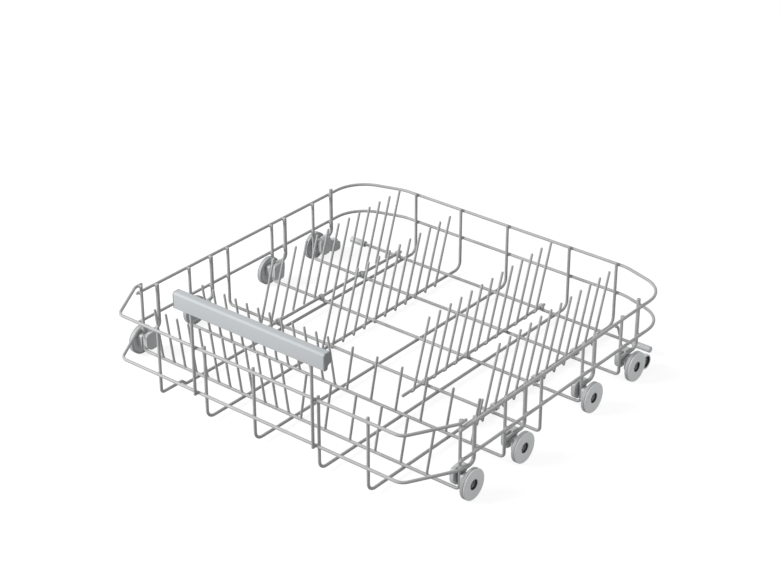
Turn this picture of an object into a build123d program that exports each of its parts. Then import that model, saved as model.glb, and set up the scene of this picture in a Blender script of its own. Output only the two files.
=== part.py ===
from build123d import *
from math import acos, cos, radians, tan
import os

# Lower rack of a dishwasher: a basket of bent and welded coated wire that rolls on eight
# wheels, with three plate rows that fold down and a moulded pull handle at the front.
# Millimetres. +X is to the right of someone facing the handle, +Y runs back into the
# machine and +Z is up. Sizes below count y from the front legs and z from the ground.

# Wires
wire_d = 4.0
tine_d = 3.2
carrier_d = 5.0
wire_sides = 8
tine_sides = 6
bend_facet = 0.32
weld_gap = 0.05
hoop_bend = 11.0
cross_bend = 6.0
carrier_bend = 8.0

# Basket
ground_gap = 4.0
leg_x = 248.0
rear_y = 500.0
long_x = (-156.4, -80.0, -3.0, 95.8, 168.0)
cross_y = (63.2, 147.9, 219.1, 304.0, 386.9)
rear_cross_y = 464.0
upper_rim_z = 91.5
lower_rim_z = 50.9
upper_rail_z = 101.0
lower_rail_z = 40.0
leg_stub = 4.0
rim_start_y = 58.0
rail_end_y = 69.0
chamfer_x = 34.0
chamfer_y = 57.0
rail_bend = 14.0
rear_slope_x = 72.0
rear_slope_y = 22.0
rim_corner_r = 48.0
rim_slope_r = 60.0
step_rise = 6.5
step_corner = 5.0
step_y = 35.0
step_run = 7.0
step_bend = 3.0

# Tine rows that stand on the first two cross hoops
left_tines = 12
left_pitch = 19.0
left_last_x = -6.9
left_lean = 10.5
right_tines = 6
right_pitch = 37.9
right_first_x = 12.1
right_lean = 10.5
front_tine_top = 76.5
second_tine_top = 75.5

# Plate rows that run front to back
row_pitch = 21.2
row_lean_deg = 18.5
row_height = 91.0
row_stub = 3.4
row_end = 8.0
row_tail = 17.0
row_a_x = -163.0
row_c_x = 76.9
row_a_lead = 31.1
row_b_lead = 15.6
row_c_lead = 27.5
row_d_lead = 14.3
row_a_tines = 13
row_b_tines = 12
row_c_tines = 13
row_d_tines = 12
lever_height = 29.0
lever_gap = 11.0

# Clips that the folding rows turn in
clip_wall = 1.6
clip_length = 5.0
clip_grip = 0.4
pivot_clearance = 0.05
clip_seat = 0.05
side_clip_lag = 18.0

# Wheels and their brackets
wheel_d = 38.8
wheel_width = 6.5
wheel_face_x = 264.0
wheel_lags = (6.4, 19.1, 4.9, 16.5)
wheel_edge = 0.8
wheel_sides = 24
hub_sides = 12
bearing_sides = 12
hub_recess_d = 13.4
hub_recess_depth = 4.0
back_recess_d = 31.0
back_recess_depth = 2.0
hub_d = 15.0
axle_d = 7.9
axle_clearance = 0.05
head_d = 10.0
head_length = 1.5
head_slot = 1.4
end_play = 0.3
carrier_offset = 20.5
carrier_run_z = 33.0
carrier_top_z = 94.0
rear_carrier_top_z = 101.5
bracket_play = 0.35
cheek_x = 238.0
cheek_wall = 5.5
cheek_reach = 12.0
cheek_low_z = 20.0
cheek_high_z = 35.5
saddle_back = 8.0
saddle_front = 2.5
saddle_wall = 1.9
saddle_depth = 5.5
plate_r = 9.0
plate_high_z = 31.0
plate_back_z = 25.0
axle_boss = 6.0
rib_back = 2.0
rib_drop = 3.0
arm_lap = 1.0
plate_corner = 2.0

# Rear rollers on the last pair of brackets, and the sleeves and the hook on the rear cross wire
roller_d = 19.6
roller_width = 6.0
roller_face_x = 258.0
roller_y = 435.3
roller_pin_d = 6.0
roller_recess_d = 16.0
roller_recess_depth = 3.5
roller_head_d = 8.0
arm_wall = 5.5
sleeve_d = 8.4
sleeve_length = 26.0
sleeve_end_x = 246.0
sleeve_floor = 3.0
hook_x = 200.0
hook_shift = 5.0
hook_rise = 14.0
hook_reach = 5.0
hook_bend = 2.5

# Handle
handle_x = 1.4
handle_length = 231.2
handle_front = 13.2
handle_depth = 11.6
handle_low_z = 149.4
handle_height = 21.1
grip_height = 7.4
grip_depth = 5.3
grip_lip = 4.9
grip_slant = 1.0
handle_round = 1.4
handle_edge = 0.8
handle_wall = 1.4
handle_pocket = 9.0
cap_thickness = 1.4
cap_plug = 7.0
upright_inset = 23.45
upright_foot_z = 37.5
upright_seat = 14.0

# Heights and planes that follow from the sizes above
touch = wire_d + weld_gap
long_z = ground_gap + wire_d / 2
cross_z = long_z + touch
pivot_z = cross_z + touch
rim_x = leg_x + touch
rail_y = -touch
rear_leg_y = rear_y - touch
carrier_x = rim_x - wire_d / 2 - carrier_d / 2 - weld_gap
row_a_y = cross_y[2] - row_a_lead
row_b_y = cross_y[2] - row_b_lead
row_c_y = cross_y[2] - row_c_lead
row_d_y = cross_y[2] - row_d_lead
wheel_hoops = cross_y[:2] + cross_y[-2:]
wheel_z = wheel_d / 2
wheel_back_x = wheel_face_x - wheel_width
roller_z = roller_d / 2
tine_side = wire_d / 2 + tine_d / 2 + weld_gap
lean = tan(radians(row_lean_deg))
upright_reach = handle_length / 2 - upright_inset
centre_y = (rear_y + wire_d / 2 - handle_front) / 2

os.makedirs("parts", exist_ok=True)


def save(node, *solids):
    """Write one node, moved so that the origin is under the middle of the rack."""
    solids = [solid.moved(Location((0, -centre_y, 0))) for solid in solids]
    shape = solids[0] if len(solids) == 1 else Compound(children=solids)
    shape.label = node
    export_step(shape, f"parts/{node}.step")


def wire_section(diameter, sides):
    """Wire section drawn as a polygon, with a flat facing the x axis of its plane."""
    return RegularPolygon(diameter / 2, sides, major_radius=False, rotation=180 / sides)


def chord_count(edge):
    """Straight facets along one stretch of a bent wire: one for a run, and more for a wider arc."""
    if edge.geom_type == GeomType.LINE:
        return 1
    facet_angle = 2 * acos(1 - bend_facet / edge.radius)
    return max(1, round(edge.length / edge.radius / facet_angle))


def bent_wire(points, bends, diameter):
    """Wire along straight runs in one plane, with a faceted arc of the given radius between two runs."""
    route = []
    for edge in FilletPolyline(*points, radius=bends).edges():
        chords = chord_count(edge)
        route += [edge @ (step / chords) for step in range(chords)]
    route.append(Vector(*points[-1]))
    across = (route[1] - route[0]).cross(route[2] - route[1])
    start = Plane(origin=route[0], x_dir=across, z_dir=route[1] - route[0])
    section = start * wire_section(diameter, wire_sides)
    return sweep(section, path=Polyline(*route), transition=Transition.RIGHT).solid()


def straight_wire(start, end, diameter, sides, flat):
    """Straight wire between two points, with one of its flats facing the given way."""
    start, end = Vector(*start), Vector(*end)
    base = Plane(origin=start, x_dir=flat, z_dir=end - start)
    return extrude(base * wire_section(diameter, sides), amount=(end - start).length).solid()


def round_bar(start, end, diameter):
    """Round bar or bore between two points."""
    start, end = Vector(*start), Vector(*end)
    base = Plane(origin=start, z_dir=end - start)
    return extrude(base * Circle(diameter / 2), amount=(end - start).length).solid()


def mirrored(solid):
    """The same piece on the other side of the rack."""
    return mirror(solid, about=Plane.YZ)


def block(low, high):
    """Box between two corners."""
    size = [b - a for a, b in zip(low, high)]
    return Pos(*low) * Box(*size, align=(Align.MIN, Align.MIN, Align.MIN))


def disc(x_from, x_to, y, z, diameter):
    """Cylinder along X."""
    return round_bar((x_from, y, z), (x_to, y, z), diameter)


def facet_disc(x_from, x_to, y, z, diameter, sides):
    """Disc along X with straight sides, the given diameter across its flats, resting on one."""
    place = Plane(origin=(x_from, y, z), x_dir=(0, 0, 1), z_dir=(1, 0, 0))
    return extrude(place * wire_section(diameter, sides), amount=x_to - x_from).solid()


def side_profile(x_from, x_to, points, corner):
    """Plate cut from an outline with trimmed corners in the YZ plane, between two x positions."""
    plane = Plane(origin=(x_from, 0, 0), x_dir=(0, 1, 0), z_dir=(1, 0, 0))
    face = plane * make_face(Polyline(*points, close=True))
    face = chamfer(face.vertices(), corner)
    return extrude(face, amount=x_to - x_from, dir=(1, 0, 0))


def long_hoop(x, front_step):
    """Hoop from the front rail down, back along the floor and up to the rear rim."""
    top = upper_rail_z + leg_stub
    rear_top = upper_rim_z + leg_stub
    if front_step:
        floor = [(x, 0, long_z + step_rise), (x, step_y, long_z + step_rise), (x, step_y + step_run, long_z)]
        bends = [step_corner, step_bend, step_bend, hoop_bend]
    else:
        floor = [(x, 0, long_z)]
        bends = [hoop_bend, hoop_bend]
    points = [(x, 0, top), *floor, (x, rear_leg_y, long_z), (x, rear_leg_y, rear_top)]
    return bent_wire(points, bends, wire_d)


def cross_hoop(y, top):
    """Hoop from the left rim down, across the floor and up to the right rim."""
    points = [(-leg_x, y, top), (-leg_x, y, cross_z), (leg_x, y, cross_z), (leg_x, y, top)]
    return bent_wire(points, [cross_bend, cross_bend], wire_d)


def front_rail(z):
    """Front wire with slanted corners, whose ends run back past the first cross hoop."""
    right = [
        (rim_x, rail_end_y, z),
        (rim_x, chamfer_y, z),
        (rim_x - chamfer_x, rail_y, z),
    ]
    left = [(-x, y, z) for x, y, z in reversed(right)]
    return bent_wire(right + left, [rail_bend] * 4, wire_d)


def rim(z):
    """Side wires joined round the back by two wide corners and a shallow slant."""
    right = [
        (rim_x, rim_start_y, z),
        (rim_x, rear_y - rear_slope_y, z),
        (rim_x - rear_slope_x, rear_y, z),
    ]
    left = [(-x, y, z) for x, y, z in reversed(right)]
    bends = [rim_corner_r, rim_slope_r, rim_slope_r, rim_corner_r]
    return bent_wire(right + left, bends, wire_d)


def hoop_tines(y, top):
    """Tines on one cross hoop: a close group that leans left and an open one that leans right."""
    wire_top = cross_z + wire_d / 2
    corner = tine_d / 2 / cos(radians(180 / tine_sides))
    groups = (
        (left_last_x, -left_pitch, left_tines, -left_lean),
        (right_first_x, right_pitch, right_tines, right_lean),
    )
    for first_x, pitch, count, shift in groups:
        foot = wire_top + weld_gap + corner * abs(shift) / (top - wire_top)
        for number in range(count):
            x = first_x + pitch * number
            yield straight_wire((x, y, foot), (x + shift, y, top), tine_d, tine_sides, (0, 1, 0))


def row_tine(x, y, z, height, stub):
    """Tine that crosses its row wire at (x, y, z) and leans back."""
    start = (x, y - stub * lean, z - stub)
    end = (x, y + height * lean, z + height)
    return straight_wire(start, end, tine_d, tine_sides, (1, 0, 0))


def plate_row(x, y, z, count, stub):
    """One row of leaning tines, spaced by the row pitch."""
    for number in range(count):
        yield row_tine(x, y + number * row_pitch, z, row_height, stub)


def row_wire(x, y, z, count):
    """Straight round wire that carries a row of tines and turns with it."""
    end = max(y + (count - 1) * row_pitch + row_end, rear_cross_y + row_end)
    return round_bar((x, y - row_tail, z), (x, end, z), wire_d)


def cross_clip(x, y):
    """Moulded clip that snaps on a cross wire and lets a row wire turn on top of it."""
    half = wire_d / 2 + clip_wall
    body = block(
        (x - half, y - clip_length / 2, cross_z - clip_grip),
        (x + half, y + clip_length / 2, pivot_z + half),
    )
    body = chamfer(body.edges().filter_by(Axis.Y).group_by(Axis.Z)[-1], clip_wall)
    bore = wire_d + 2 * pivot_clearance
    front, back = (x, y - clip_length, pivot_z), (x, y + clip_length, pivot_z)
    body -= straight_wire(front, back, bore, bearing_sides, (0, 0, 1))
    seat = wire_d + 2 * clip_seat
    left, right = (x - clip_length, y, cross_z), (x + clip_length, y, cross_z)
    body -= straight_wire(left, right, seat, wire_sides, (0, 0, 1))
    return body.solid()


def side_clip(fixed_x, pivot_x, y):
    """Moulded clip that holds a turning row wire beside a lengthwise hoop."""
    half = wire_d / 2 + clip_wall
    body = block(
        (fixed_x - half, y - clip_length / 2, long_z - half),
        (pivot_x + half, y + clip_length / 2, long_z + half),
    )
    body = chamfer(body.edges().filter_by(Axis.Y), clip_wall)
    front, back = y - clip_length, y + clip_length
    seat = wire_d + 2 * clip_seat
    body -= straight_wire((fixed_x, front, long_z), (fixed_x, back, long_z), seat, wire_sides, (0, 0, 1))
    bore = wire_d + 2 * pivot_clearance
    body -= straight_wire((pivot_x, front, long_z), (pivot_x, back, long_z), bore, bearing_sides, (0, 0, 1))
    return body.solid()


def wheel_carrier(y, hoop_y, top):
    """Thick wire that hangs from the rims and bends forward to a cross hoop's leg."""
    drop_y = y + carrier_offset
    run_end = hoop_y + wire_d / 2 + weld_gap
    points = [
        (carrier_x, drop_y, top),
        (carrier_x, drop_y, carrier_run_z),
        (carrier_x, run_end, carrier_run_z),
    ]
    return bent_wire(points, [carrier_bend], carrier_d)


def snap_pin(x_from, head_x, y, z, pin_d, snap_d, length, slot):
    """Moulded axle pin with a split snap head that holds a wheel on."""
    pin = disc(x_from, head_x, y, z, pin_d)
    head = facet_disc(head_x, head_x + length, y, z, snap_d, hub_sides)
    cut = block((head_x, y - slot / 2, z - snap_d), (head_x + 2 * length, y + slot / 2, z + snap_d))
    return pin + head - cut


def wheel_bracket(y):
    """Moulded bracket that wraps a carrier wire and ends in the wheel's axle pin."""
    saddle_top = carrier_run_z + carrier_d / 2 + saddle_wall
    outer_x = leg_x + wire_d / 2 + bracket_play
    plate_x = wheel_back_x - end_play
    cheek = side_profile(
        cheek_x,
        cheek_x + cheek_wall,
        [
            (y - cheek_reach, cheek_high_z),
            (y - cheek_reach, cheek_low_z),
            (y - axle_boss, wheel_z - axle_boss),
            (y + axle_boss, wheel_z - axle_boss),
            (y + saddle_back, carrier_run_z - saddle_depth),
            (y + saddle_back, saddle_top),
            (y - saddle_front, saddle_top),
        ],
        plate_corner,
    )
    saddle = block(
        (cheek_x + cheek_wall / 2, y - saddle_front, carrier_run_z - saddle_depth),
        (carrier_x, y + saddle_back, saddle_top),
    )
    rib = block(
        (cheek_x + cheek_wall / 2, y - saddle_front, wheel_z - rib_drop),
        (outer_x + plate_corner, y + rib_back, carrier_run_z - carrier_d / 2),
    )
    plate = side_profile(
        outer_x,
        plate_x,
        [
            (y - plate_r, wheel_z - axle_boss),
            (y + plate_r, wheel_z - axle_boss),
            (y + plate_r, plate_back_z),
            (y + rib_back, plate_high_z),
            (y - plate_r, plate_high_z),
        ],
        plate_corner,
    )
    bore = straight_wire(
        (carrier_x, y - 2 * saddle_back, carrier_run_z),
        (carrier_x, y + 2 * saddle_back, carrier_run_z),
        carrier_d + 2 * clip_seat,
        wire_sides,
        (1, 0, 0),
    )
    head_x = wheel_face_x - hub_recess_depth + end_play
    pin = snap_pin(plate_x, head_x, y, wheel_z, axle_d, head_d, head_length, head_slot)
    return (cheek + saddle + rib + plate - bore + pin).solid()


def rear_bracket(y):
    """The last bracket on each side, with an arm back to the small rear roller."""
    arm_x = roller_face_x - roller_width - end_play
    drop = carrier_run_z - saddle_depth
    arm = side_profile(
        arm_x - arm_wall,
        arm_x,
        [
            (y, drop + arm_lap),
            (y, wheel_z - rib_drop),
            (roller_y - axle_boss, roller_z - axle_boss),
            (roller_y + axle_boss, roller_z - axle_boss),
            (roller_y + axle_boss, roller_z + axle_boss),
            (y + saddle_back + axle_boss, drop - arm_lap),
        ],
        plate_corner,
    )
    head_x = roller_face_x - roller_recess_depth + end_play
    pin = snap_pin(arm_x, head_x, roller_y, roller_z, roller_pin_d, roller_head_d, head_length, head_slot)
    return (wheel_bracket(y) + arm + pin).solid()


def wheel(y):
    """Moulded wheel: bevelled tread, recessed hub and a hollow back."""
    body = facet_disc(wheel_back_x, wheel_face_x, y, wheel_z, wheel_d, wheel_sides)
    body = chamfer(body.faces().sort_by(Axis.X)[-1].edges(), wheel_edge)
    hollow_end = wheel_back_x + back_recess_depth
    hollow = facet_disc(wheel_back_x, hollow_end, y, wheel_z, back_recess_d, hub_sides)
    hollow -= facet_disc(wheel_back_x, hollow_end, y, wheel_z, hub_d, hub_sides)
    body -= hollow
    body -= facet_disc(wheel_face_x - hub_recess_depth, wheel_face_x, y, wheel_z, hub_recess_d, hub_sides)
    body -= facet_disc(wheel_back_x, wheel_face_x, y, wheel_z, axle_d + 2 * axle_clearance, bearing_sides)
    return body.solid()


def rear_roller():
    """Small plain roller behind the last wheel."""
    back_x = roller_face_x - roller_width
    body = facet_disc(back_x, roller_face_x, roller_y, roller_z, roller_d, hub_sides)
    recess_x = roller_face_x - roller_recess_depth
    body -= facet_disc(recess_x, roller_face_x, roller_y, roller_z, roller_recess_d, hub_sides)
    bore = roller_pin_d + 2 * axle_clearance
    body -= facet_disc(back_x, roller_face_x, roller_y, roller_z, bore, bearing_sides)
    return body.solid()


def rear_hook():
    """Thin wire hook that stands on the rear cross wire, leans inwards and turns forward."""
    wire_top = cross_z + wire_d / 2
    corner = tine_d / 2 / cos(radians(180 / wire_sides))
    foot = wire_top + weld_gap + corner * hook_shift / hook_rise
    top_x = hook_x - hook_shift
    top_z = foot + hook_rise
    points = [
        (hook_x, rear_cross_y, foot),
        (top_x, rear_cross_y, top_z),
        (top_x, rear_cross_y - hook_reach, top_z),
    ]
    return bent_wire(points, [hook_bend], tine_d)


def rear_sleeve():
    """Blind plastic sleeve pushed over the end of the rear cross wire."""
    start = (sleeve_end_x - sleeve_length, rear_cross_y, cross_z)
    body = facet_disc(start[0], sleeve_end_x, rear_cross_y, cross_z, sleeve_d, hub_sides)
    body = chamfer(body.faces().sort_by(Axis.X)[-1].edges(), wheel_edge)
    bore_end = (sleeve_end_x - sleeve_floor, rear_cross_y, cross_z)
    bore = straight_wire(start, bore_end, wire_d + 2 * clip_seat, wire_sides, (0, 0, 1))
    return (body - bore).solid()


def handle_outline(x):
    """Section of the handle at one x: flat front and top, and a finger recess low at the back."""
    front = -handle_front
    back = front + handle_depth
    low = handle_low_z
    high = handle_low_z + handle_height
    outline = Polyline(
        (front, low),
        (front, high),
        (back, high),
        (back, low + grip_height),
        (back - grip_depth, low + grip_lip),
        (back - grip_depth - grip_slant, low),
        close=True,
    )
    plane = Plane(origin=(x, 0, 0), x_dir=(0, 1, 0), z_dir=(1, 0, 0))
    return plane * make_face(outline)


def softened(face):
    """The handle's section with its two top corners rounded and the others trimmed."""
    face = fillet(face.vertices().group_by(Axis.Z)[-1], handle_round)
    lower = face.vertices().filter_by_position(Axis.Z, handle_low_z, handle_low_z + grip_height)
    return chamfer(lower, handle_edge)


def handle_bar():
    """Moulded bar with a pocket at each end and two sockets for its uprights."""
    half = handle_length / 2 - cap_thickness - clip_seat
    face = handle_outline(handle_x - half)
    pocket_face = offset(face, amount=-handle_wall)
    bar = extrude(softened(face), amount=2 * half, dir=(1, 0, 0))
    for start in (0, 2 * half - handle_pocket):
        bar -= extrude(Pos(start, 0, 0) * pocket_face, amount=handle_pocket, dir=(1, 0, 0))
    for side in (-1, 1):
        x = handle_x + side * upright_reach
        bar -= straight_wire(
            (x, rail_y - touch, handle_low_z - upright_seat),
            (x, rail_y - touch, handle_low_z + upright_seat),
            wire_d + 2 * clip_seat,
            wire_sides,
            (0, 1, 0),
        )
    return bar.solid()


def handle_cap():
    """Cap on the right end of the bar: a thin plate on a plug that fills the mouth of the pocket."""
    face = handle_outline(handle_x + handle_length / 2 - cap_thickness)
    plug_face = offset(face, amount=-handle_wall - clip_seat)
    plate = extrude(softened(face), amount=cap_thickness, dir=(1, 0, 0))
    plug = extrude(plug_face, amount=cap_plug, dir=(-1, 0, 0))
    return (plate + plug).solid()


def handle_upright(side):
    """Straight wire from the lower front rail up into the handle."""
    x = handle_x + side * upright_reach
    y = rail_y - touch
    top = handle_low_z + upright_seat - clip_seat
    return straight_wire((x, y, upright_foot_z), (x, y, top), wire_d, wire_sides, (0, 1, 0))


# Basket wires
for number, x in enumerate(long_x, 1):
    save(f"long_hoop_{number}", long_hoop(x, number == 1))
for number, y in enumerate(cross_y, 1):
    top = upper_rail_z if number == 1 else upper_rim_z
    save(f"cross_hoop_{number}", cross_hoop(y, top + leg_stub / 2))
wire_end_x = sleeve_end_x - sleeve_floor - clip_seat
rear_ends = [(side * wire_end_x, rear_cross_y, cross_z) for side in (-1, 1)]
rear_wire = straight_wire(*rear_ends, wire_d, wire_sides, (0, 0, 1))
save("rear_cross_wire", rear_wire, rear_hook())
save("upper_front_rail", front_rail(upper_rail_z))
save("lower_front_rail", front_rail(lower_rail_z))
save("upper_rim", rim(upper_rim_z))
save("lower_rim", rim(lower_rim_z))

# Tines on the first two cross hoops
save("front_tines", *hoop_tines(cross_y[0], front_tine_top))
save("second_tines", *hoop_tines(cross_y[1], second_tine_top))

# Plate rows: A and C turn on the cross wires, B is welded to a hoop, D turns beside one
save("row_a_wire", row_wire(row_a_x, row_a_y, pivot_z, row_a_tines))
save("row_a_tines", *plate_row(row_a_x - tine_side, row_a_y, pivot_z, row_a_tines, 0))
save("row_b_tines", *plate_row(long_x[1] + tine_side, row_b_y, long_z, row_b_tines, row_stub))
save("row_c_wire", row_wire(row_c_x, row_c_y, pivot_z, row_c_tines))
save("row_c_tines", *plate_row(row_c_x + tine_side, row_c_y, pivot_z, row_c_tines, 0))
row_d_x = long_x[4] + touch
save("row_d_wire", row_wire(row_d_x, row_d_y, long_z, row_d_tines))
save("row_d_tines", *plate_row(row_d_x + tine_side, row_d_y, long_z, row_d_tines, row_stub))
save("row_d_lever", row_tine(row_d_x + tine_side, row_d_y - lever_gap, long_z, lever_height, row_stub))
save("row_a_clips", *[cross_clip(row_a_x, y) for y in (*cross_y[2:], rear_cross_y)])
save("row_c_clips", *[cross_clip(row_c_x, y) for y in (cross_y[2], cross_y[3], rear_cross_y)])
clip_slots = [round((y + side_clip_lag - row_d_y) / row_pitch - 0.5) for y in cross_y[2:]]
clip_places = [row_d_y + (slot + 0.5) * row_pitch for slot in clip_slots]
save("row_d_clips", *[side_clip(long_x[4], row_d_x, y) for y in clip_places])

# Wheels, brackets and the wires that carry them
for number, (hoop_y, lag) in enumerate(zip(wheel_hoops, wheel_lags), 1):
    y = hoop_y + lag
    last = number == len(wheel_hoops)
    carrier = wheel_carrier(y, hoop_y, rear_carrier_top_z if last else carrier_top_z)
    bracket = rear_bracket(y) if last else wheel_bracket(y)
    tread = wheel(y)
    save(f"wheel_carrier_right_{number}", carrier)
    save(f"wheel_carrier_left_{number}", mirrored(carrier))
    save(f"wheel_bracket_right_{number}", bracket)
    save(f"wheel_bracket_left_{number}", mirrored(bracket))
    save(f"wheel_right_{number}", tread)
    save(f"wheel_left_{number}", mirrored(tread))
roller = rear_roller()
save("rear_roller_right", roller)
save("rear_roller_left", mirrored(roller))
sleeve = rear_sleeve()
save("rear_sleeve_right", sleeve)
save("rear_sleeve_left", mirrored(sleeve))

# Handle
save("handle_bar", handle_bar())
cap = handle_cap()
save("handle_caps", cap, mirror(cap, about=Plane.YZ.offset(handle_x)))
save("handle_upright_left", handle_upright(-1))
save("handle_upright_right", handle_upright(1))
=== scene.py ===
import bmesh
import bpy
import numpy as np
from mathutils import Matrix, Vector


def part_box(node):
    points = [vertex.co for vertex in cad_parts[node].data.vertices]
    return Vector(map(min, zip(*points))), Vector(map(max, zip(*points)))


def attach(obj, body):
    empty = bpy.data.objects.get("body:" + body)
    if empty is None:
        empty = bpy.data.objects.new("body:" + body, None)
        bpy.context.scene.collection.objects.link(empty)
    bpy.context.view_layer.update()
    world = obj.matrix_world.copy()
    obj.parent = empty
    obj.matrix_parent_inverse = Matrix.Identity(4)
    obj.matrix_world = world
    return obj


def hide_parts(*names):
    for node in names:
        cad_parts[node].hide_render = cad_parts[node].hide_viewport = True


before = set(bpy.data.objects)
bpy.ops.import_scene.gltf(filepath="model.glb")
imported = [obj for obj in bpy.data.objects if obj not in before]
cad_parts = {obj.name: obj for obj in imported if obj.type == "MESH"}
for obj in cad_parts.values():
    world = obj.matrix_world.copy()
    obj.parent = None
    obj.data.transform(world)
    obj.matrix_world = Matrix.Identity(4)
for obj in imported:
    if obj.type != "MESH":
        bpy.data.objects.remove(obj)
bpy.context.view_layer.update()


# Lengthwise hoops. Five steel wires, bent cold at their corners and coated with grey nylon after
# welding. Each hangs from the front rails, runs back as the basket's floor and rises to the rear
# rims. The first one is raised at its front end and steps down behind it.
mm = 0.001
wire_r = 2.0 * mm
hoop_bend = 11.0 * mm
leg_stub = 4.0 * mm
front_rise = 6.5 * mm
rise_length = 35.0 * mm
rise_slope = 7.0 * mm
rise_bends = [5.0 * mm, 3.0 * mm, 3.0 * mm]
end_dome = 0.45
dome_angles = np.radians([90, 65, 40, 18])
wire_grey = (0.42, 0.421, 0.423)


def unit(vector):
    """Vector divided by its length."""
    return np.asarray(vector, float) / np.linalg.norm(vector)


def bent_route(corners, radii, step=np.radians(8)):
    """Centre line of a bent wire: straight runs joined by arcs.

    At a corner with run directions a and b, turning by t, the arc of radius r starts r tan(t / 2)
    before the corner. Its points are start + r sin(s) a + r (1 - cos(s)) n for s from 0 to t, where
    n is the unit vector across a on the side of b.
    """
    corners = np.asarray(corners, float)
    route = [corners[:1]]
    for before, corner, after, radius in zip(corners, corners[1:], corners[2:], radii):
        a, b = unit(corner - before), unit(after - corner)
        turn = np.arccos(np.clip(a @ b, -1, 1))
        n = unit(b - (a @ b) * a)
        start = corner - radius * np.tan(turn / 2) * a
        s = np.linspace(0, turn, 2 + int(turn / step))[:, None]
        route.append(start + radius * np.sin(s) * a + radius * (1 - np.cos(s)) * n)
    return np.vstack(route + [corners[-1:]])


def round_wire(route, radius, across, dome=end_dome, around=16):
    """Round bar along a route that lies in one plane, as a grid of rings.

    Point = centre + radius (cos v * across + sin v * (along x across)) for v from 0 to 2 pi, with
    across normal to the plane. The rings of both ends shrink as radius cos(q) while they move
    outwards by dome * radius * sin(q), so that a cut and coated end is a low dome.
    """
    route, across = np.array(route, float), unit(across)
    runs = np.diff(route, axis=0)
    runs /= np.linalg.norm(runs, axis=1)[:, None]
    along = np.vstack([runs[:1], runs[:-1] + runs[1:], runs[-1:]])
    along /= np.linalg.norm(along, axis=1)[:, None]
    route[0] += dome * radius * along[0]
    route[-1] -= dome * radius * along[-1]
    q = dome_angles[:, None]
    lead = route[0] - dome * radius * np.sin(q) * along[0]
    tail = route[-1] + dome * radius * np.sin(q[::-1]) * along[-1]
    centres = np.vstack([lead, route, tail])
    full = np.full((len(route), 1), radius)
    widths = np.vstack([radius * np.cos(q), full, radius * np.cos(q[::-1])])
    first, last = (np.repeat(along[[end]], len(q), 0) for end in (0, -1))
    along = np.vstack([first, along, last])
    v = np.linspace(0, 2 * np.pi, around, endpoint=False)[None, :, None]
    ring = np.cos(v) * across + np.sin(v) * np.cross(along, across)[:, None, :]
    return centres[:, None, :] + widths[:, None, :] * ring


def grid_mesh(name, grids, closed_along=False):
    """One mesh from grids of points (along, around, 3), each closed around, and along where asked.

    Face (i, j) joins points (i, j), (i, j + 1), (i + 1, j + 1) and (i + 1, j). Rings that are a
    single point become poles, because points that meet are merged.
    """
    points, quads, start = [], [], 0
    for grid in grids:
        rows, columns = grid.shape[:2]
        i = np.arange(rows if closed_along else rows - 1)[:, None]
        j = np.arange(columns)[None, :]
        above, beside = (i + 1) % rows, (j + 1) % columns
        lower = [i * columns + j, i * columns + beside]
        upper = [above * columns + beside, above * columns + j]
        quads.append(np.stack(lower + upper, -1).reshape(-1, 4) + start)
        points.append(grid.reshape(-1, 3))
        start += rows * columns
    mesh = bpy.data.meshes.new(name)
    mesh.from_pydata(np.vstack(points), [], np.vstack(quads))
    merged = bmesh.new()
    merged.from_mesh(mesh)
    bmesh.ops.remove_doubles(merged, verts=merged.verts, dist=1e-6)
    bmesh.ops.recalc_face_normals(merged, faces=merged.faces)
    merged.to_mesh(mesh)
    merged.free()
    mesh.polygons.foreach_set("use_smooth", np.ones(len(mesh.polygons), bool))
    return mesh


def add_piece(name, mesh, material, body, nodes=()):
    """Link a finished mesh as a piece that rides on a body and stands for the named CAD nodes."""
    mesh.materials.clear()
    mesh.materials.append(material)
    piece = bpy.data.objects.new(name, mesh)
    bpy.context.collection.objects.link(piece)
    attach(piece, body)
    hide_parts(*nodes)
    return piece


noise_scales = ("Grain per metre", "Patches per metre", "Peel per metre")
noise_detail = 2.0
grain_share = 0.35


def surface_grain_group():
    """Shader group of an even skin: broad noise for Tone, fine and medium noise for Height."""
    group = bpy.data.node_groups.new("surface_grain", "ShaderNodeTree")
    group.interface.new_socket("Vector", in_out="INPUT", socket_type="NodeSocketVector")
    for label in noise_scales:
        group.interface.new_socket(label, in_out="INPUT", socket_type="NodeSocketFloat")
    group.interface.new_socket("Tone", in_out="OUTPUT", socket_type="NodeSocketFloat")
    group.interface.new_socket("Height", in_out="OUTPUT", socket_type="NodeSocketFloat")
    nodes, links = group.nodes, group.links
    given, made = nodes.new("NodeGroupInput"), nodes.new("NodeGroupOutput")
    noises = {}
    for label in noise_scales:
        noise = nodes.new("ShaderNodeTexNoise")
        noise.inputs["Detail"].default_value = noise_detail
        links.new(given.outputs["Vector"], noise.inputs["Vector"])
        links.new(given.outputs[label], noise.inputs["Scale"])
        noises[label] = noise.outputs["Fac"]
    both = nodes.new("ShaderNodeMath")
    both.operation = "MULTIPLY_ADD"
    both.inputs[1].default_value = grain_share
    links.new(noises["Grain per metre"], both.inputs[0])
    links.new(noises["Peel per metre"], both.inputs[2])
    links.new(both.outputs[0], made.inputs["Height"])
    links.new(noises["Patches per metre"], made.inputs["Tone"])
    return group


surface_grain = surface_grain_group()
tone_ends = (0.3, 0.7)
gloss_swing = 0.06
relief_strength = 0.5


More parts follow.
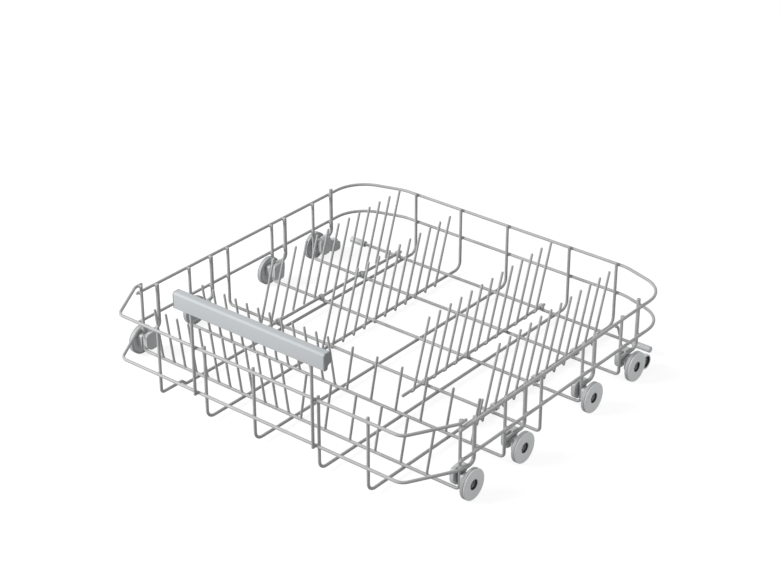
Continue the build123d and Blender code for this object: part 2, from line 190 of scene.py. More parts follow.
def skin_material(name, colour, spread, roughness, grain, patches, peel, bump, specular=0.5):
    """Opaque skin: colour and roughness vary with the grain group's Tone, bump with its Height."""
    material = bpy.data.materials.new(name)
    material.use_nodes = True
    nodes, links = material.node_tree.nodes, material.node_tree.links
    shader = nodes["Principled BSDF"]
    shader.inputs["Specular IOR Level"].default_value = specular
    place = nodes.new("ShaderNodeTexCoord")
    skin = nodes.new("ShaderNodeGroup")
    skin.node_tree = surface_grain
    for label, per_metre in zip(noise_scales, (grain, patches, peel)):
        skin.inputs[label].default_value = per_metre
    links.new(place.outputs["Object"], skin.inputs["Vector"])
    tint = nodes.new("ShaderNodeValToRGB")
    for element, end, share in zip(tint.color_ramp.elements, tone_ends, (1 - spread, 1 + spread)):
        element.position = end
        element.color = (*[c * share for c in colour], 1)
    links.new(skin.outputs["Tone"], tint.inputs["Fac"])
    links.new(tint.outputs["Color"], shader.inputs["Base Color"])
    gloss = nodes.new("ShaderNodeMapRange")
    gloss.inputs["To Min"].default_value = roughness - gloss_swing
    gloss.inputs["To Max"].default_value = roughness + gloss_swing
    links.new(skin.outputs["Tone"], gloss.inputs["Value"])
    links.new(gloss.outputs["Result"], shader.inputs["Roughness"])
    relief = nodes.new("ShaderNodeBump")
    relief.inputs["Strength"].default_value = relief_strength
    relief.inputs["Distance"].default_value = bump
    links.new(skin.outputs["Height"], relief.inputs["Height"])
    links.new(relief.outputs["Normal"], shader.inputs["Normal"])
    return material


nylon_coat = skin_material(
    "grey_nylon_coat", wire_grey, spread=0.05, roughness=0.38,
    grain=1400, patches=35, peel=260, bump=0.05 * mm, specular=0.2,
)

rim_low, rim_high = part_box("upper_rim")
rim_z = (rim_low.z + rim_high.z) / 2
weld_spots = []
for number in range(1, 6):
    node = f"long_hoop_{number}"
    low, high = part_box(node)
    x, floor_z = (low.x + high.x) / 2, low.z + wire_r
    front_y, rear_y = low.y + wire_r, high.y - wire_r
    if number == 1:
        step_y = front_y + rise_length
        front = [(x, front_y, floor_z + front_rise), (x, step_y, floor_z + front_rise)]
        front.append((x, step_y + rise_slope, floor_z))
        bends = [*rise_bends, hoop_bend]
    else:
        front = [(x, front_y, floor_z)]
        bends = [hoop_bend, hoop_bend]
    corners = [(x, front_y, high.z), *front, (x, rear_y, floor_z), (x, rear_y, rim_z + leg_stub)]
    route = bent_route(corners, bends)
    mesh = grid_mesh(node, [round_wire(route, wire_r, (1, 0, 0))])
    add_piece(f"coated_{node}", mesh, nylon_coat, "basket", [node])


# Cross hoops and the rear cross wire. The same coated wire: five hoops lie on the lengthwise ones,
# are welded to them and rise at both sides to the rims. The rear cross wire is straight and
# carries a small hook of thin wire, butt welded on its top.
cross_bend = 6.0 * mm
for number in range(1, 6):
    node = f"cross_hoop_{number}"
    low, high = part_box(node)
    y, floor_z = (low.y + high.y) / 2, low.z + wire_r
    left_x, right_x = low.x + wire_r, high.x - wire_r
    corners = [(left_x, y, high.z), (left_x, y, floor_z)]
    corners += [(right_x, y, floor_z), (right_x, y, high.z)]
    route = bent_route(corners, [cross_bend] * 2)
    mesh = grid_mesh(node, [round_wire(route, wire_r, (0, 1, 0))])
    add_piece(f"coated_{node}", mesh, nylon_coat, "basket", [node])
tine_r = 1.6 * mm
tine_around = 12
foot_sink = 0.5 * mm
bead_lift = 0.2 * mm
tine_bead = (2.3 * mm, 2.0 * mm, 1.2 * mm)
low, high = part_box("rear_cross_wire")
y, z = high.y - wire_r, low.z + wire_r
rear_wire = round_wire([(low.x, y, z), (high.x, y, z)], wire_r, (0, 0, 1))
hook_x = 200.0 * mm
hook_shift = 5.0 * mm
hook_bend = 2.5 * mm
hook_z = high.z - tine_r
corners = [(hook_x, y, z + wire_r - foot_sink), (hook_x - hook_shift, y, hook_z)]
corners.append((hook_x - hook_shift, low.y, hook_z))
hook_plane = (hook_z - z - wire_r, 0, hook_shift)
hook = round_wire(bent_route(corners, [hook_bend]), tine_r, hook_plane, around=tine_around)
mesh = grid_mesh("rear_cross_wire", [rear_wire, hook])
add_piece("coated_rear_cross_wire", mesh, nylon_coat, "basket", ["rear_cross_wire"])
weld_spots.append(("basket", (hook_x, y, z + wire_r + bead_lift), tine_bead))


# Front rails and rims. Coated wire in level loops: two rails wrap the front with slanted corners
# and run back past the first cross hoop, and two rims run along the sides and round the back,
# through wide corners.
rail_slant = (34.0 * mm, 61.05 * mm)
rail_bend = 14.0 * mm
rim_slant = (72.0 * mm, 22.0 * mm)
rim_bends = [48.0 * mm, 60.0 * mm, 60.0 * mm, 48.0 * mm]


def level_loop(node, slant, bends, outward):
    """Open loop from the right side's end round the middle to the left's, mirrored in x.

    outward is -1 for a loop round the front and 1 for one round the back. Each half's corners are
    the side's end, its last point before the slant, and the slant's end on the middle run.
    """
    low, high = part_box(node)
    z, side_x = (low.z + high.z) / 2, high.x - wire_r
    end_y, middle_y = (high.y, low.y + wire_r) if outward < 0 else (low.y, high.y - wire_r)
    right = [
        (side_x, end_y, z),
        (side_x, middle_y - outward * slant[1], z),
        (side_x - slant[0], middle_y, z),
    ]
    left = [(-x, y, z) for x, y, z in reversed(right)]
    return round_wire(bent_route(right + left, bends), wire_r, (0, 0, 1))


for node, slant, bends, outward in (
    ("upper_front_rail", rail_slant, [rail_bend] * 4, -1),
    ("lower_front_rail", rail_slant, [rail_bend] * 4, -1),
    ("upper_rim", rim_slant, rim_bends, 1),
    ("lower_rim", rim_slant, rim_bends, 1),
):
    mesh = grid_mesh(node, [level_loop(node, slant, bends, outward)])
    add_piece(f"coated_{node}", mesh, nylon_coat, "basket", [node])


# Tines of the first two cross hoops. Thinner coated wire, butt welded on top of the hoop: a close
# group on the left leans left, an open group on the right leans right. Their tips are dipped round.
tip_dome = 0.9
tip_gap = 0.2 * mm
left_group = {"first_x": -6.9 * mm, "pitch": -19.0 * mm, "count": 12, "lean": -10.5 * mm}
right_group = {"first_x": 12.1 * mm, "pitch": 37.9 * mm, "count": 6, "lean": 10.5 * mm}
for node, hoop in (("front_tines", "cross_hoop_1"), ("second_tines", "cross_hoop_2")):
    low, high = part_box(node)
    y, top = (low.y + high.y) / 2, high.z - tip_gap
    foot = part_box(hoop)[0].z + 2 * wire_r - foot_sink
    tines = []
    for group in (left_group, right_group):
        for number in range(group["count"]):
            x = group["first_x"] + group["pitch"] * number
            ends = [(x, y, foot), (x + group["lean"], y, top)]
            tines.append(round_wire(ends, tine_r, (0, 1, 0), tip_dome, tine_around))
            weld_spots.append(("basket", (x, y, foot + foot_sink + bead_lift), tine_bead))
    mesh = grid_mesh(node, tines)
    add_piece(f"coated_{node}", mesh, nylon_coat, "basket", [node])


# Rows of tall tines. They lean back and are welded to the side of the wire that carries them: rows
# A and C turn on wires of their own on the cross hoops, row B stands beside the second lengthwise
# hoop, and row D turns on a wire beside the last hoop, with a short lever ahead of it.
row_pitch = 21.2 * mm
row_lean = np.tan(np.radians(18.5))
row_height = 91.0 * mm
row_stub = 3.4 * mm
row_tail = 17.0 * mm
tine_side = 3.65 * mm
lever_height = 29.0 * mm
lever_gap = 11.0 * mm
row_bead = (1.5 * mm, 2.4 * mm, 2.0 * mm)


def row_tine(x, y, z, height, stub):
    """Straight tine in a plane of constant x, from a stub below its wire up to a height above it.

    It moves back by lean for each unit of height, and passes the wire's own height at y.
    """
    ends = [(x, y - stub * row_lean, z - stub), (x, y + height * row_lean, z + height)]
    return round_wire(ends, tine_r, (1, 0, 0), tip_dome, tine_around)


# row, body, wire of its own, side of the wire on which the tines stand, number of tines, stub below
rows = (
    ("row_a", "row_a", "row_a_wire", -1, 13, 0.0),
    ("row_b", "basket", None, 1, 12, row_stub),
    ("row_c", "row_c", "row_c_wire", 1, 13, 0.0),
    ("row_d", "row_d", "row_d_wire", 1, 12, row_stub),
)
for row, body, wire, side, count, stub in rows:
    node = f"{row}_tines"
    if wire:
        wire_low, wire_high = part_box(wire)
        wire_x, wire_z = (wire_low.x + wire_high.x) / 2, (wire_low.z + wire_high.z) / 2
        first_y = wire_low.y + row_tail
        ends = [(wire_x, wire_low.y, wire_z), (wire_x, wire_high.y, wire_z)]
        mesh = grid_mesh(wire, [round_wire(ends, wire_r, (1, 0, 0))])
        add_piece(f"coated_{wire}", mesh, nylon_coat, body, [wire])
    else:
        hoop_low, hoop_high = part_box("long_hoop_2")
        wire_x, wire_z = (hoop_low.x + hoop_high.x) / 2, hoop_low.z + wire_r
        first_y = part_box(node)[1].y - row_height * row_lean - (count - 1) * row_pitch
        first_y -= tine_r * np.cos(np.arctan(row_lean))
    x, weld_x = wire_x + side * tine_side, wire_x + side * wire_r
    places = first_y + np.arange(count) * row_pitch
    mesh = grid_mesh(node, [row_tine(x, y, wire_z, row_height, stub) for y in places])
    weld_spots += [(body, (weld_x, y, wire_z), row_bead) for y in places]
    add_piece(f"coated_{node}", mesh, nylon_coat, body, [node])
    if row == "row_d":
        lever_y = first_y - lever_gap
        mesh = grid_mesh("lever", [row_tine(x, lever_y, wire_z, lever_height, stub)])
        weld_spots.append((body, (weld_x, lever_y, wire_z), row_bead))
        add_piece("coated_row_d_lever", mesh, nylon_coat, body, ["row_d_lever"])


# Wheel carriers. Thicker coated wire, one for each wheel: welded inside the rims, it drops down
# and bends forward to the leg of the next cross hoop, and the bracket snaps on its level run.
carrier_r = 2.5 * mm
carrier_bend = 8.0 * mm
sides = ("right", "left")
for side in sides:
    for number in range(1, 5):
        node = f"wheel_carrier_{side}_{number}"
        low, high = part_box(node)
        x, run_z = (low.x + high.x) / 2, low.z + carrier_r
        y = high.y - carrier_r
        route = bent_route([(x, y, high.z), (x, y, run_z), (x, low.y, run_z)], [carrier_bend])
        mesh = grid_mesh(node, [round_wire(route, carrier_r, (1, 0, 0))])
        add_piece(f"coated_{node}", mesh, nylon_coat, "basket", [node])


# Welds. Each crossing is a resistance weld under the coating, which fills the corner between the
# two wires with a small smooth bead.
def bead(centre, radii):
    """Ellipsoid: centre + (a cos p cos t, b cos p sin t, c sin p) for radii a, b and c.

    p runs from -90 to 90 degrees and t from 0 to 360.
    """
    p = np.radians(np.linspace(-90, 90, 7))[:, None]
    t = np.radians(np.arange(0, 360, 36))[None, :]
    ball = np.stack([np.cos(p) * np.cos(t), np.cos(p) * np.sin(t), np.sin(p) + 0 * t], -1)
    return np.asarray(centre) + ball * np.asarray(radii)


def middle_height(loop):
    """Height of the centre line of a rail or a rim."""
    low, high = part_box(loop)
    return (low.z + high.z) / 2


front_rails = ("upper_front_rail", "lower_front_rail")
flat_bead = (2.7 * mm, 2.7 * mm, 1.5 * mm)
side_bead = (1.5 * mm, 2.7 * mm, 2.7 * mm)
front_bead = (2.7 * mm, 1.5 * mm, 2.7 * mm)
long_wires = [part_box(f"long_hoop_{n}") for n in range(1, 6)]
cross_wires = [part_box(f"cross_hoop_{n}") for n in range(1, 6)]
rear_low, rear_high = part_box("rear_cross_wire")
crossings = [((low.y + high.y) / 2, low.z) for low, high in cross_wires]
crossings.append((rear_high.y - wire_r, rear_low.z))
for long_low, long_high in long_wires:
    x = (long_low.x + long_high.x) / 2
    weld_spots += [("basket", (x, y, z), flat_bead) for y, z in crossings]
    for loop in front_rails:
        weld_spots.append(("basket", (x, long_low.y, middle_height(loop)), front_bead))
    for loop in ("upper_rim", "lower_rim"):
        weld_spots.append(("basket", (x, long_high.y, middle_height(loop)), front_bead))
for number, (cross_low, cross_high) in enumerate(cross_wires, 1):
    y = (cross_low.y + cross_high.y) / 2
    for loop in ("lower_rim", "upper_rim", *(front_rails if number == 1 else ())):
        for x in (cross_low.x, cross_high.x):
            weld_spots.append(("basket", (x, y, middle_height(loop)), side_bead))
for side in sides:
    for number in range(1, 5):
        low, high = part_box(f"wheel_carrier_{side}_{number}")
        x, y = high.x if side == "right" else low.x, high.y - carrier_r
        for loop in ("upper_rim", "lower_rim"):
            weld_spots.append(("basket", (x, y, middle_height(loop)), side_bead))
        leg_spot = ((low.x + high.x) / 2, low.y, low.z + carrier_r)
        weld_spots.append(("basket", leg_spot, front_bead))
    low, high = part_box(f"handle_upright_{side}")
    for loop in front_rails:
        spot = ((low.x + high.x) / 2, high.y, middle_height(loop))
        weld_spots.append(("basket", spot, front_bead))
for body in ("basket", "row_a", "row_c", "row_d"):
    beads = [bead(centre, radii) for owner, centre, radii in weld_spots if owner == body]
    mesh = grid_mesh(f"welds_{body}", beads)
    add_piece(f"welds_{body}", mesh, nylon_coat, body)


# Clips. Small moulded saddles: each snaps on a cross wire, or on the last lengthwise hoop, and the
# row's wire turns in its round bore. They are the CAD solids with their edges rounded.
clip_grey = (0.55, 0.565, 0.575)
clip_edge = 0.3 * mm
fine_grain = {"spread": 0.03, "grain": 2500, "patches": 40, "peel": 900, "bump": 0.02 * mm}
clip_plastic = skin_material("clip_plastic", clip_grey, roughness=0.5, **fine_grain)


def softened_copy(node, keep=None):
    """Copy of a CAD node's mesh with its loose triangles merged and its flat areas joined.

    keep, where given, tells from a vertex's place whether it stays. Holes are then closed flat.
    """
    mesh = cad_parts[node].data.copy()
    shape = bmesh.new()
    shape.from_mesh(mesh)
    bmesh.ops.remove_doubles(shape, verts=shape.verts, dist=1e-6)
    if keep:
        gone = [vertex for vertex in shape.verts if not keep(vertex.co)]
        bmesh.ops.delete(shape, geom=gone, context="VERTS")
        bmesh.ops.holes_fill(shape, edges=shape.edges, sides=0)
    bmesh.ops.dissolve_limit(shape, angle_limit=np.radians(1), verts=shape.verts, edges=shape.edges)
    bmesh.ops.recalc_face_normals(shape, faces=shape.faces)
    shape.to_mesh(mesh)
    shape.free()
    mesh.polygons.foreach_set("use_smooth", np.ones(len(mesh.polygons), bool))
    return mesh


def bevelled(piece, width, segments=2, angle=25):
    """Round every edge sharper than the angle, in degrees, and keep flats flat in the shading."""
    rounding = piece.modifiers.new("rounded_edges", "BEVEL")
    rounding.width = width
    rounding.segments = segments
    rounding.limit_method = "ANGLE"
    rounding.angle_limit = np.radians(angle)
    rounding.harden_normals = True


for node in ("row_a_clips", "row_c_clips", "row_d_clips"):
    mesh = softened_copy(node)
    clips = add_piece(f"moulded_{node}", mesh, clip_plastic, "basket", [node])
    bevelled(clips, clip_edge)


# Wheel brackets. Moulded in grey plastic: a saddle wraps the carrier's level run, a cheek stands
# inside it and a plate outside, and the wheel turns on a split pin with a snap head on the plate.
bracket_grey = (0.52, 0.534, 0.543)
bracket_plastic = skin_material("bracket_plastic", bracket_grey, roughness=0.48, **fine_grain)
bracket_edge = 0.5 * mm
cut_margin = 0.05 * mm
pin_r = 3.95 * mm
pin_wall = 1.1 * mm
head_r = 5.0 * mm
head_length = 1.5 * mm
head_lead = 0.6 * mm
slot_width = 1.4 * mm
wheel_width = 6.5 * mm
end_play = 0.3 * mm
roller_pin_r = 3.0 * mm
roller_head_r = 4.0 * mm
roller_recess = 3.5 * mm
hub_depth = 4.0 * mm
half_turn_steps = 15


def revolved(profile, centre, start=0.0, stop=2 * np.pi, around=48):
    """Profile of (distance d along x, radius r) turned about the x axis through centre.

    Point = centre + (d, r cos v, r sin v), with v from start to stop. A part turn gets a ring at
    the profile's middle at each end, which closes it flat.
    """
    profile = np.asarray(profile, float)
    whole = np.isclose(stop - start, 2 * np.pi)
    v = np.linspace(start, stop, around, endpoint=not whole)
    d, r = profile[:, 0], profile[:, 1]
    grid = np.stack([d + 0 * v[:, None], r * np.cos(v)[:, None], r * np.sin(v)[:, None]], -1)
    if not whole:
        caps = grid[[0, -1]].mean(1, keepdims=True).repeat(len(profile), 1)
        grid = np.concatenate([caps[:1], grid, caps[1:]])
    return np.asarray(centre) + grid


def rounded_profile(corners, radii, step=np.radians(20)):
    """Closed outline in two dimensions with an arc at each corner, by the rule of bent_route."""
    flat = [(a, b, 0.0) for a, b in corners]
    route = bent_route([flat[-1], *flat, flat[0]], radii, step)
    return route[1:-1, :2]


def split_pin(face_x, centre, outward, length, bar_r, bar_head_r):
    """Two half barrels with half heads, parted by the slot. The pin leaves its plate at face_x.

    Each half turns its outline about the pin's axis by 180 degrees less the angle that the slot
    takes at that radius, 2 arcsin(slot / 2 r).
    """
    lip, hollow = length - head_length, bar_r - pin_wall
    barrel = [(0, hollow), (length, hollow), (length, bar_r), (0, bar_r)]
    head = [(lip, hollow), (length, hollow), (length, bar_head_r - head_lead)]
    head += [(length - head_lead, bar_head_r), (lip, bar_head_r)]
    grids = []
    for middle in (0, np.pi):
        for outline, outer in ((barrel, bar_r), (head, bar_head_r)):
            half = np.pi / 2 - np.arcsin(slot_width / 2 / outer)
            profile = [(outward * d, r) for d, r in outline]
            turn = middle - half, middle + half
            grids.append(revolved(profile, (face_x, *centre), *turn, around=half_turn_steps))
    return grids


def sharp_edged_mesh(name, grids, angle, closed_along=False):
    """Mesh of grids whose edges sharper than the angle, in degrees, stay sharp in the shading."""
    mesh = grid_mesh(name, grids, closed_along)
    mesh.set_sharp_from_angle(angle=np.radians(angle))
    return mesh


for side in sides:
    outward = 1 if side == "right" else -1
    for number in range(1, 5):
        node = f"wheel_bracket_{side}_{number}"
        wheel_low, wheel_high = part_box(f"wheel_{side}_{number}")
        back_x = wheel_low.x if outward > 0 else wheel_high.x
        plate_x = back_x - outward * end_play
        limit = plate_x + outward * cut_margin
        axle = ((wheel_low.y + wheel_high.y) / 2, (wheel_low.z + wheel_high.z) / 2)
        length = wheel_width - hub_depth + 2 * end_play + head_length
        pins = split_pin(plate_x, axle, outward, length, pin_r, head_r)
        arm_limit, arm_y = limit, wheel_high.y
        if number == 4:
            roller_low, roller_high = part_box(f"rear_roller_{side}")
            arm_x = (roller_low.x if outward > 0 else roller_high.x) - outward * end_play
            arm_limit, arm_y = arm_x + outward * cut_margin, roller_low.y
            axle = ((roller_low.y + roller_high.y) / 2, (roller_low.z + roller_high.z) / 2)
            length = roller_high.x - roller_low.x - roller_recess + 2 * end_play + head_length
            pins += split_pin(arm_x, axle, outward, length, roller_pin_r, roller_head_r)

        def inside_plate(co):
            """Whether a point lies inside the outer face of the bracket's plate or arm."""
            return (co.x - (arm_limit if co.y > arm_y else limit)) * outward < 0

        mesh = softened_copy(node, inside_plate)
        bracket = add_piece(
            f"moulded_{node}", mesh, bracket_plastic, "basket", [node]
        )
        bevelled(bracket, bracket_edge)
        name = f"axle_pin_{side}_{number}"
        mesh = sharp_edged_mesh(name, pins, angle=35)
        add_piece(name, mesh, bracket_plastic, "basket")


# Wheels. A pale moulded disc with a rounded rim, a deep hub recess and a hollow back. Behind its
# face a tread runs round it, parted from it by a narrow groove; the tread's darker grey is painted
# shade. A near-black lining in the recess is painted shade, where the deep recess lies in shadow.
wheel_grey = (0.7, 0.714, 0.724)
# Painted shade: the tread is a darker grey than the face, standing in for the shade on its
# down-facing side.
tread_shade_grey = (0.43, 0.437, 0.442)
# Painted shade: near-black for the lining of the wheel and roller recesses, which lie in shadow.
painted_shade_black = (0.05, 0.051, 0.053)
peel_grain = {"grain": 2500, "patches": 60, "peel": 700}
wheel_plastic = skin_material(
    "wheel_plastic", wheel_grey, spread=0.03, roughness=0.45, bump=0.03 * mm, **peel_grain
)
tread_shade_plastic = skin_material(
    "tread_shade_plastic", tread_shade_grey, spread=0.03, roughness=0.55, bump=0.03 * mm, specular=0.35,
    **peel_grain,
)
painted_shade_plastic = skin_material(
    "painted_shade_plastic", painted_shade_black, spread=0.1, roughness=0.45, bump=0.02 * mm, **peel_grain
)
bore_r = 4.0 * mm
hub_r = 6.7 * mm
face_thickness = 1.5 * mm
groove_width = 0.6 * mm
groove_depth = 1.2 * mm
tread_depth = 3.0 * mm
hollow_r = 15.5 * mm
boss_r = 7.5 * mm
hollow_depth = 2.0 * mm
wheel_around = 72
# Sizes of the dark lining that paints the recess's shade.
painted_shade_hole_r = bore_r + 1.2 * mm
painted_shade_setback = 0.6 * mm
painted_shade_fit = 0.02 * mm
painted_shade_wall = 0.7 * mm
painted_shade_floor = 0.5 * mm


def turned_mesh(name, outline, centre, outward, around):
    """Closed outline of (distance outward, radius), turned right round by the rule of revolved."""
    turned = revolved([(outward * d, r) for d, r in outline], centre, around=around)
    return sharp_edged_mesh(name, [turned], angle=50, closed_along=True)


def dark_painted_shade(name, centre, outward, floor_x, face_x, inner_r, outer_r, body):
    """Thin dark lining of a recess, painted shade: a washer on its floor and a sleeve up its wall.
    """
    rim, wall_r = face_x - painted_shade_setback, outer_r - painted_shade_fit
    lining = [(floor_x, inner_r), (floor_x, wall_r), (rim, wall_r), (rim, outer_r - painted_shade_wall)]
    lining += [(floor_x + painted_shade_floor, outer_r - painted_shade_wall), (floor_x + painted_shade_floor, inner_r)]
    mesh = turned_mesh(name, lining, centre, outward, around=48)
    add_piece(name, mesh, painted_shade_plastic, body)


for side in sides:
    outward = 1 if side == "right" else -1
    for number in range(1, 5):
        node = f"wheel_{side}_{number}"
        low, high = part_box(node)
        centre = (low.x if outward > 0 else high.x, (low.y + high.y) / 2, (low.z + high.z) / 2)
        tread_r = (high.z - low.z) / 2
        face, recess = wheel_width, wheel_width - hub_depth
        groove = face - face_thickness
        ledge, seat_r = groove - groove_width, tread_r - tread_depth
        corners = [
            (0, bore_r), (recess, bore_r), (recess, hub_r), (face, hub_r), (face, tread_r),
            (groove, tread_r), (groove, tread_r - groove_depth), (ledge, tread_r - groove_depth),
            (ledge, seat_r), (0, seat_r),
            (0, hollow_r), (hollow_depth, hollow_r), (hollow_depth, boss_r), (0, boss_r),
        ]
        # radius of each corner, in millimetres
        rounds = [0.3, 0.2, 0.3, 0.5, 0.9, 0.3, 0.15, 0.15, 0.1, 0.1, 0.1, 0.6, 0.6, 0.4]
        outline = rounded_profile(corners, np.array(rounds) * mm)
        mesh = turned_mesh(node, outline, centre, outward, wheel_around)
        add_piece(f"moulded_{node}", mesh, wheel_plastic, node, [node])
        # Tread ring in the darker grey that paints its shade.
        ring = [(0, seat_r), (ledge, seat_r), (ledge, tread_r), (0, tread_r)]
        outline = rounded_profile(ring, np.array([0.1, 0.1, 0.35, 0.9]) * mm)
        name = f"tread_{side}_{number}"
        mesh = turned_mesh(name, outline, centre, outward, wheel_around)
        add_piece(name, mesh, tread_shade_plastic, node)
        # Dark lining of the hub recess: painted shade.
        name = f"painted_shade_{side}_{number}"
        dark_painted_shade(name, centre, outward, recess, face, painted_shade_hole_r, hub_r, node)


# Rear rollers. A small plain moulded roller with a deep recess, lined in near-black as painted
# shade, turns on a thinner snap pin at the end of the last bracket's arm, and keeps the basket from
# tipping when it is pulled right out.
roller_bore_r = 3.05 * mm
roller_hub_r = 8.0 * mm
roller_hole_r = roller_bore_r + 0.2 * mm
for side in sides:
    outward = 1 if side == "right" else -1
    node = f"rear_roller_{side}"
    low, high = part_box(node)
    back_x = low.x if outward > 0 else high.x
    centre = (back_x, (low.y + high.y) / 2, (low.z + high.z) / 2)
    roller_r, roller_width = (high.z - low.z) / 2, high.x - low.x
    floor_x = roller_width - roller_recess
    corners = [(0, roller_bore_r), (floor_x, roller_bore_r), (floor_x, roller_hub_r)]
    corners += [(roller_width, roller_hub_r), (roller_width, roller_r), (0, roller_r)]
    outline = rounded_profile(corners, np.array([0.3, 0.2, 0.3, 0.5, 0.9, 0.9]) * mm)
    mesh = turned_mesh(node, outline, centre, outward, around=60)
    add_piece(f"moulded_{node}", mesh, wheel_plastic, node, [node])
    # Dark lining of the roller's recess: painted shade.
    name = f"roller_painted_shade_{side}"
    dark_painted_shade(name, centre, outward, floor_x, roller_width, roller_hole_r, roller_hub_r, node)


# Sleeves of the rear cross wire. Moulded caps in the clips' grey, pushed over both ends of the
# wire, open inside and closed with a rounded edge outside.
sleeve_plastic = skin_material("sleeve_plastic", clip_grey, roughness=0.45, **fine_grain)
sleeve_bore_r = wire_r + 0.05 * mm
sleeve_mouth_r = wire_r + 0.4 * mm
sleeve_lead = 0.8 * mm
sleeve_floor = 3.0 * mm
for side in sides:
    outward = 1 if side == "right" else -1
    node = f"rear_sleeve_{side}"
    low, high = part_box(node)
    inner_x = low.x if outward > 0 else high.x
    centre = (inner_x, (low.y + high.y) / 2, (low.z + high.z) / 2)
    length, sleeve_r = high.x - low.x, (high.z - low.z) / 2
    corners = [(sleeve_lead, sleeve_bore_r), (0, sleeve_mouth_r), (0, sleeve_r)]
    corners += [(length, sleeve_r), (length, 0)]
    flat = [(a, b, 0.0) for a, b in corners]
    skin = bent_route(flat, np.array([0.2, 0.5, 1.4]) * mm, np.radians(15))[:, :2]
    outline = np.vstack([[(sleeve_floor, 0.0), (sleeve_floor, sleeve_bore_r)], skin])
    mesh = turned_mesh(node, outline, centre, outward, around=40)
    add_piece(f"moulded_{node}", mesh, sleeve_plastic, "basket", [node])


# Handle. A moulded bar in blue-grey plastic with a flat front and top and a finger recess low at
# the back. A plate closes each end, its dark grey painted shade of the bar's hollow end, and two
# straight wires, welded to the rails, carry it.
handle_grey = (0.48, 0.504, 0.517)
handle_plastic = skin_material(
    "handle_plastic", handle_grey, spread=0.015, roughness=0.58,
    grain=3000, patches=12, peel=1200, bump=0.015 * mm, specular=0.2,
)
# Painted shade: the end plates are dark grey where the bar's hollow ends lie in shadow.
cap_shade_grey = (0.24, 0.248, 0.254)
cap_plastic = skin_material("cap_plastic", cap_shade_grey, roughness=0.5, **fine_grain)
bar_rim = 0.1 * mm
cap_rim = 0.4 * mm
cap_gap = 0.02 * mm
rim_turns = np.radians([0, 30, 60, 90])
low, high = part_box("handle_bar")
grip_height, grip_depth, grip_lip, grip_slant = 7.4 * mm, 5.3 * mm, 4.9 * mm, 1.0 * mm
corners = [
    (low.y, low.z), (low.y, high.z), (high.y, high.z), (high.y, low.z + grip_height),
    (high.y - grip_depth, low.z + grip_lip), (high.y - grip_depth - grip_slant, low.z),
]
outline = rounded_profile(corners, np.array([0.9, 3.2, 1.6, 0.9, 1.4, 0.9]) * mm, np.radians(12))
centroid = outline.mean(0)


def handle_slice(x_from, x_to, rim):
    """Length of the handle's outline along x, closed flat at both ends.

    Each ring is centroid + k (outline - centroid), where k draws the outline in by the rim's width
    at the two faces, which trims their rims round, and falls to 0 at the middle of each face.
    """
    half = (high.z - low.z) / 2
    depths = np.concatenate([[0], rim * (1 - np.sin(rim_turns))])
    widths = np.concatenate([[0], 1 - rim / half * (1 - np.cos(rim_turns[::-1]))])
    start = [(x_from + d, k) for d, k in zip(depths, widths)]
    stop = [(x_to - d, k) for d, k in zip(depths, widths)]
    rings = [
        np.column_stack([np.full(len(outline), x), centroid + (outline - centroid) * k])
        for x, k in start + stop[::-1]
    ]
    return np.stack(rings)


mesh = sharp_edged_mesh("handle_bar", [handle_slice(low.x, high.x, bar_rim)], angle=40)
add_piece("moulded_handle_bar", mesh, handle_plastic, "basket", ["handle_bar"])
# End plates in the dark grey that paints the hollow ends' shade.
cap_low, cap_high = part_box("handle_caps")
caps = [
    handle_slice(cap_low.x, low.x - cap_gap, cap_rim),
    handle_slice(high.x + cap_gap, cap_high.x, cap_rim),
]
mesh = sharp_edged_mesh("handle_caps", caps, angle=40)
add_piece("moulded_handle_caps", mesh, cap_plastic, "basket", ["handle_caps"])
for side in ("left", "right"):
    node = f"handle_upright_{side}"
    low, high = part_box(node)
    middle = (low + high) / 2
    ends = [(middle.x, middle.y, low.z), (middle.x, middle.y, high.z)]
    mesh = grid_mesh(node, [round_wire(ends, wire_r, (1, 0, 0))])
    add_piece(f"coated_{node}", mesh, nylon_coat, "basket", [node])


# Studio. A wide paper floor that keeps the basket's soft shadow, an even white sky, a large soft
# lamp in front on the left, a small one low at the right, and a camera with a long lens.
floor_half = 6.0
floor_grey = 0.24
floor_glow = 0.84
sky_level = 0.515
floor_mesh = bpy.data.meshes.new("studio_floor")
corners = [(-floor_half, -floor_half, 0), (floor_half, -floor_half, 0)]
corners += [(floor_half, floor_half, 0), (-floor_half, floor_half, 0)]
floor_mesh.from_pydata(corners, [], [(0, 1, 2, 3)])
floor = bpy.data.objects.new("studio_floor", floor_mesh)
bpy.context.collection.objects.link(floor)
paper = bpy.data.materials.new("studio_paper")
paper.use_nodes = True
nodes, links = paper.node_tree.nodes, paper.node_tree.links
shader = nodes["Principled BSDF"]
shader.inputs["Base Color"].default_value = (floor_grey, floor_grey, floor_grey, 1)
shader.inputs["Roughness"].default_value = 0.9
shader.inputs["Specular IOR Level"].default_value = 0.0
shader.inputs["Emission Color"].default_value = (1, 1, 1, 1)
path = nodes.new("ShaderNodeLightPath")
seen = nodes.new("ShaderNodeMath")
seen.operation = "MAXIMUM"
links.new(path.outputs["Is Camera Ray"], seen.inputs[0])
links.new(path.outputs["Is Glossy Ray"], seen.inputs[1])
glow = nodes.new("ShaderNodeMath")
glow.operation = "MULTIPLY"
glow.inputs[1].default_value = floor_glow
links.new(seen.outputs[0], glow.inputs[0])
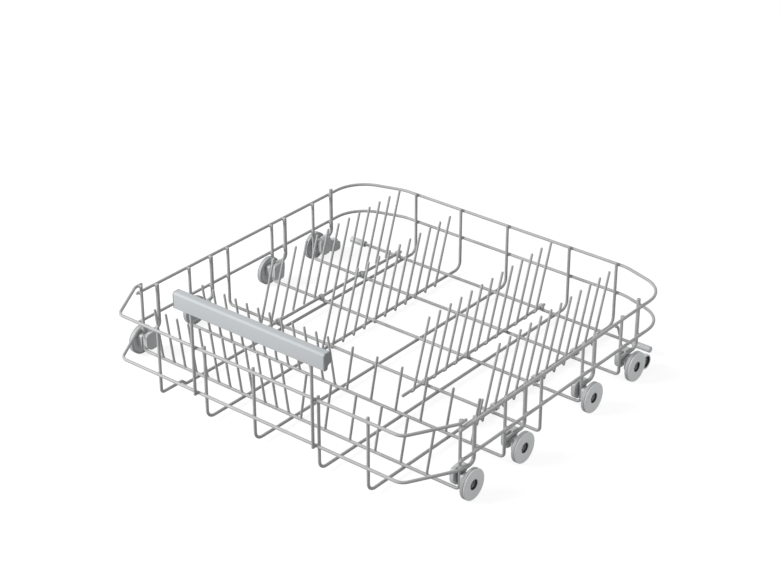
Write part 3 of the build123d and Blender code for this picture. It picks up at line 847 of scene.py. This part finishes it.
links.new(glow.outputs[0], shader.inputs["Emission Strength"])
floor_mesh.materials.append(paper)

sky = bpy.data.worlds.new("studio_sky")
bpy.context.scene.world = sky
sky.use_nodes = True
nodes, links = sky.node_tree.nodes, sky.node_tree.links
background = nodes["Background"]
background.inputs["Color"].default_value = (1, 1, 1, 1)
path = nodes.new("ShaderNodeLightPath")
level = path.outputs["Is Camera Ray"]
for ray in ("Is Glossy Ray", "Is Transmission Ray"):
    seen = nodes.new("ShaderNodeMath")
    seen.operation = "MAXIMUM"
    links.new(path.outputs[ray], seen.inputs[0])
    links.new(level, seen.inputs[1])
    level = seen.outputs[0]
strength = nodes.new("ShaderNodeMapRange")
strength.inputs["To Min"].default_value = sky_level
strength.inputs["To Max"].default_value = 1.0
links.new(level, strength.inputs["Value"])
links.new(strength.outputs["Result"], background.inputs["Strength"])


def softbox(name, place, target, size, power):
    """Square area lamp at a place, turned towards a target."""
    lamp = bpy.data.lights.new(name, "AREA")
    lamp.shape = "SQUARE"
    lamp.size = size
    lamp.energy = power
    light = bpy.data.objects.new(name, lamp)
    light.location = place
    light.rotation_mode = "QUATERNION"
    light.rotation_quaternion = (Vector(target) - Vector(place)).to_track_quat("-Z", "Y")
    bpy.context.collection.objects.link(light)


basket_middle = (0, 0, 0.05)
softbox("key_softbox", (-1.75, -2.0, 1.55), basket_middle, size=1.3, power=92)
softbox("side_softbox", (0.8, 0.05, 0.2), basket_middle, size=0.4, power=0.62)

# The lens, the place and the line of sight were solved from the photograph's straight wires.
camera_data = bpy.data.cameras.new("photo_camera")
camera_data.sensor_width = 36.0
camera_data.lens = 93.08
camera = bpy.data.objects.new("photo_camera", camera_data)
camera.location = (1.3742, -1.6961, 1.2784)
view_line = Vector((-0.5537, 0.6841, -0.4748))
camera.rotation_mode = "QUATERNION"
camera.rotation_quaternion = view_line.to_track_quat("-Z", "Y")
bpy.context.collection.objects.link(camera)
bpy.context.scene.camera = camera
bpy.context.scene.view_settings.view_transform = "Standard"
